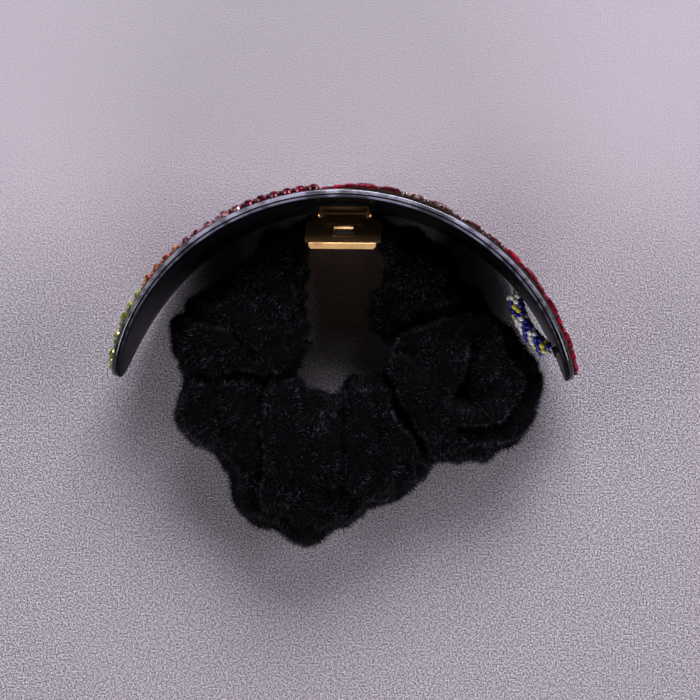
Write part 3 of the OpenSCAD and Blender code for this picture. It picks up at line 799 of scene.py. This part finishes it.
def grow_pile(mesh, count, seed):
    """Short tapered hairs all over the skin, leaning together in tufts: points, faces and luck."""
    draw = np.random.default_rng(seed)
    mesh.calc_loop_triangles()
    corners = np.empty(len(mesh.loop_triangles) * 3, int)
    mesh.loop_triangles.foreach_get("vertices", corners)
    corners = corners.reshape(-1, 3)
    points, normals = points_and_normals(mesh)
    a, b, c = (points[corners[:, k]] for k in range(3))
    area = np.linalg.norm(np.cross(b - a, c - a), axis=1)
    chosen = draw.choice(len(corners), count, p=area / area.sum())
    share = draw.dirichlet((1, 1, 1), count)
    root = sum(share[:, [k]] * points[corners[chosen, k]] for k in range(3))
    out = sum(share[:, [k]] * normals[corners[chosen, k]] for k in range(3))
    tuft = np.stack([crumple(root, 2.4, 10 + k) + crumple(root, 7, 20 + k) for k in range(3)], 1)
    lean = out + 0.8 * tuft + draw.normal(0, 0.34, (count, 3))
    lean /= np.linalg.norm(lean, axis=1)[:, None]
    long = PILE_LONG * draw.uniform(0.55, 1.25, count)
    side = np.cross(lean, draw.normal(size=(count, 3)))
    side /= np.linalg.norm(side, axis=1)[:, None]
    other = np.cross(lean, side)
    base = root - ROOT_DEEP * out
    ring = [base + HAIR_R * (math.cos(t) * side + math.sin(t) * other)
            for t in (0, 2 * math.pi / 3, 4 * math.pi / 3)]
    tip = root + lean * long[:, None]
    tip[:, 2] = np.maximum(tip[:, 2], ABOVE_TABLE)
    vertices = np.stack([*ring, tip], 1).reshape(-1, 3)
    first = 4 * np.arange(count)[:, None, None]
    faces = (first + np.array([[0, 1, 3], [1, 2, 3], [2, 0, 3]])).reshape(-1, 3)
    return vertices, faces, draw.random(count)


def pile_object(name, vertices, faces, luck, finish):
    """A mesh of many triangles, made in one go, with each hair's own luck on its faces."""
    mesh = bpy.data.meshes.new(name)
    mesh.vertices.add(len(vertices))
    mesh.vertices.foreach_set("co", (vertices * MM).ravel())
    mesh.loops.add(faces.size)
    mesh.loops.foreach_set("vertex_index", faces.ravel())
    mesh.polygons.add(len(faces))
    mesh.polygons.foreach_set("loop_start", np.arange(0, faces.size, 3))
    mesh.update(calc_edges=True)
    mesh.attributes.new("luck", "FLOAT", "FACE").data.foreach_set("value", np.repeat(luck, 3))
    mesh.materials.append(finish.material)
    piece = bpy.data.objects.new(name, mesh)
    bpy.context.scene.collection.objects.link(piece)
    return piece


plush = Finish("plush_back", Roughness=0.95, Specular_IOR_Level=0.08)
plush.drive(Base_Color=plush.grain(1.2, 5).blend(rgb(0.0008, 0.0006, 0.001), rgb(0.005, 0.004, 0.006)))
plush.bump(plush.grain(0.35, 4), 0.5)
slack_mesh = lobes_mesh()
blow_up(slack_mesh)
skin_mesh = melted(slack_mesh, SKIN_FACE, 4)
sculpt(skin_mesh)
skin_mesh.materials.clear()
skin_mesh.materials.append(plush.material)
skin_mesh.polygons.foreach_set("use_smooth", [True] * len(skin_mesh.polygons))
scrunchie = bpy.data.objects.new("scrunchie_plush", skin_mesh)
bpy.context.scene.collection.objects.link(scrunchie)
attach(scrunchie, "scrunchie")
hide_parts("velvet_tube")

hair = Finish("plush_pile", Roughness=0.5, Specular_IOR_Level=0.25)
# Painted highlight: a few hairs are painted light lavender grey, as if catching the light, most of all
# in broad patches of painted sheen.
painted_sheen_patches = hair.grain(5, 3).rise(0.4, 0.62)
shine = hair.attribute("luck") ** 5.0 * (0.08 + 0.92 * painted_sheen_patches)
hair.drive(Base_Color=shine.blend(rgb(0.0012, 0.0009, 0.002), rgb(0.23, 0.21, 0.30)))
pile = pile_object("scrunchie_pile", *grow_pile(skin_mesh, PILE_COUNT, 3), hair)
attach(pile, "scrunchie")

elastic_finish = Finish("braided_elastic", Roughness=0.7)
braid = elastic_finish.grain(0.3, 2, (0.4, 3, 3))
elastic_finish.drive(Base_Color=braid.blend(rgb(0.012, 0.012, 0.014), rgb(0.05, 0.05, 0.055)))
elastic_finish.bump(braid, 0.08)
dress("elastic_band", elastic_finish)
crimp_finish = Finish("crimp_metal", Metallic=1.0, Base_Color=rgb(0.55, 0.55, 0.57))
crimp_finish.drive(Roughness=0.3 + 0.3 * crimp_finish.grain(0.8))
dress("elastic_crimp", crimp_finish)


# ---- Beaded strand -----------------------------------------------------------------------------
# Glass seed beads stitched round a cord, white with small blue and yellow flowers. Each end of the
# cord is glued to the lining.
BEAD_R = 0.72
BEAD_HOLE = 0.16
BEAD_HALF = 0.68
BEAD_COLOURS = {
    "white": (rgb(0.70, 0.69, 0.64), rgb(0.92, 0.91, 0.88)),
    "blue": (rgb(0.012, 0.012, 0.22), rgb(0.04, 0.05, 0.50)),
    "yellow": (rgb(0.62, 0.56, 0.06), rgb(0.88, 0.82, 0.22)),
}


def bead_shape(r, hole, half_long, around=14, section=8):
    """A rounded ring: the section is an ellipse between the hole and the outside."""
    middle, half = (r + hole) / 2, (r - hole) / 2
    vertices = []
    for i in range(around):
        t = 2 * math.pi * i / around
        for k in range(section):
            s = 2 * math.pi * k / section
            reach = middle + half * math.cos(s)
            vertices.append((reach * math.cos(t), reach * math.sin(t), half_long * math.sin(s)))
    faces = [
        (i * section + k, (i + 1) % around * section + k,
         (i + 1) % around * section + (k + 1) % section, i * section + (k + 1) % section)
        for i in range(around)
        for k in range(section)
    ]
    return vertices, faces


def string_beads(colour, luck):
    """One piece for the beads of a colour, each threaded along the strand and sitting a little askew."""
    vertices, faces = [], []
    shape = bead_shape(BEAD_R, BEAD_HOLE, BEAD_HALF)
    for solid in islands("beads_" + colour):
        middle = (solid.max(0) + solid.min(0)) / 2
        turn = math.atan2(middle[0], middle[1] - ARCH_Y)
        along = Vector((math.cos(turn), -math.sin(turn), luck.uniform(-0.3, 0.3)))
        place = Matrix.Translation(middle) @ along.to_track_quat("Z", "Y").to_matrix().to_4x4()
        start = len(vertices)
        vertices += [place @ Vector(v) for v in shape[0]]
        faces += [tuple(start + i for i in face) for face in shape[1]]
    dark, light = BEAD_COLOURS[colour]
    finish = Finish("bead_" + colour, Roughness=0.12, Coat_Weight=1.0, Coat_Roughness=0.03)
    finish.drive(Base_Color=finish.grain(1.0, 2).blend(dark, light))
    return add_piece("seed_beads_" + colour, vertices, faces, finish, "cover",
                     ["beads_" + colour], "bead_" + colour)


bead_luck = random.Random(9)
for bead_colour in BEAD_COLOURS:
    string_beads(bead_colour, bead_luck)

thread_finish = Finish("nylon_thread", Roughness=0.5)
thread_finish.drive(
    Base_Color=thread_finish.grain(0.4).blend(rgb(0.45, 0.45, 0.43), rgb(0.75, 0.75, 0.72))
)
dress("strand_thread", thread_finish)
anchor_finish = Finish("set_glue", Roughness=0.35, Coat_Weight=0.5)
anchor_finish.drive(
    Base_Color=anchor_finish.grain(0.8, 4).blend(rgb(0.01, 0.02, 0.018), rgb(0.06, 0.03, 0.03))
)
anchor_finish.bump(anchor_finish.grain(0.7), 0.25)
dress("strand_anchors", anchor_finish)


# ---- Table, light and camera ---------------------------------------------------------------------
# A pale table top with a leathery grain whose tone contrast is painted stronger towards the near edge,
# as painted light where light grazes it there, and four soft lights set low all round, the strongest
# beyond the crown. The camera looks down the arch's axis from half a metre up, a little to the right.
CAMERA_AT = (19.8, 19.8 + ARCH_Y, 480.5)
LOOK_AT = (2.57, 19.8 + ARCH_Y, 42.0)
FOCAL = 99.2
ROLL = math.radians(-0.5)

HALF_TABLE = 1.5
LEATHER_GRAIN = 0.42
LIGHT_SIZE = 0.8

table_mesh = bpy.data.meshes.new("table")
table_mesh.from_pydata(
    [(x * HALF_TABLE, y * HALF_TABLE, 0) for x, y in ((-1, -1), (1, -1), (1, 1), (-1, 1))],
    [], [(0, 1, 2, 3)]
)
table_finish = Finish("pale_table", Roughness=0.6, Specular_IOR_Level=0.3)
leather = table_finish.grain(LEATHER_GRAIN, 2).rise(0.3, 0.7)
down_table = table_finish.node("ShaderNodeSeparateXYZ", {}, {0: table_finish.place()}, "Y")
# Painted light: the grain's colour contrast grows towards the near edge, where grazing light shows it
# more.
painted_grazing_contrast = (-1.0 * down_table).rise(-25, 50)
tone = 0.5 + (leather - 0.5) * (0.12 + 0.88 * painted_grazing_contrast)
table_finish.drive(Base_Color=tone.blend(rgb(0.24, 0.225, 0.26), rgb(0.74, 0.69, 0.77)))
table_finish.bump(tone, 0.25)
table_mesh.materials.append(table_finish.material)
table = bpy.data.objects.new("table", table_mesh)
bpy.context.scene.collection.objects.link(table)


def add_light(name, place, power, colour=(1.0, 0.97, 1.0)):
    """A square soft light that shines on the middle of the object."""
    data = bpy.data.lights.new(name, "AREA")
    data.size = LIGHT_SIZE
    data.energy = power
    data.color = colour
    light = bpy.data.objects.new(name, data)
    light.location = place
    aim = Vector((0, -0.03, 0.01)) - Vector(place)
    light.rotation_euler = aim.to_track_quat("-Z", "Y").to_euler()
    bpy.context.scene.collection.objects.link(light)


add_light("window_light", (0.20, 1.15, 0.98), 26.0, (1.0, 0.98, 1.0))
add_light("left_light", (-1.20, -0.20, 0.90), 6.5)
add_light("right_light", (1.20, 0.20, 0.90), 8.0)
add_light("near_light", (0.10, -1.30, 0.48), 11.0)
world = bpy.data.worlds.new("room")
world.use_nodes = True
world.node_tree.nodes["Background"].inputs["Color"].default_value = rgb(0.95, 0.94, 1.0)
world.node_tree.nodes["Background"].inputs["Strength"].default_value = 0.035
bpy.context.scene.world = world
bpy.context.scene.view_settings.view_transform = "Standard"
bpy.context.scene.view_settings.gamma = 0.8

camera_data = bpy.data.cameras.new("camera")
camera_data.lens = FOCAL
camera_data.clip_start = 0.01
camera = bpy.data.objects.new("camera", camera_data)
back = (Vector(CAMERA_AT) - Vector(LOOK_AT)).normalized()
right = Vector((math.sin(ROLL), math.cos(ROLL), 0)).cross(back).normalized()
axes = Matrix((right, back.cross(right), back)).transposed()
camera.matrix_world = Matrix.Translation(Vector(CAMERA_AT) * MM) @ axes.to_4x4()
bpy.context.scene.collection.objects.link(camera)
bpy.context.scene.camera = camera
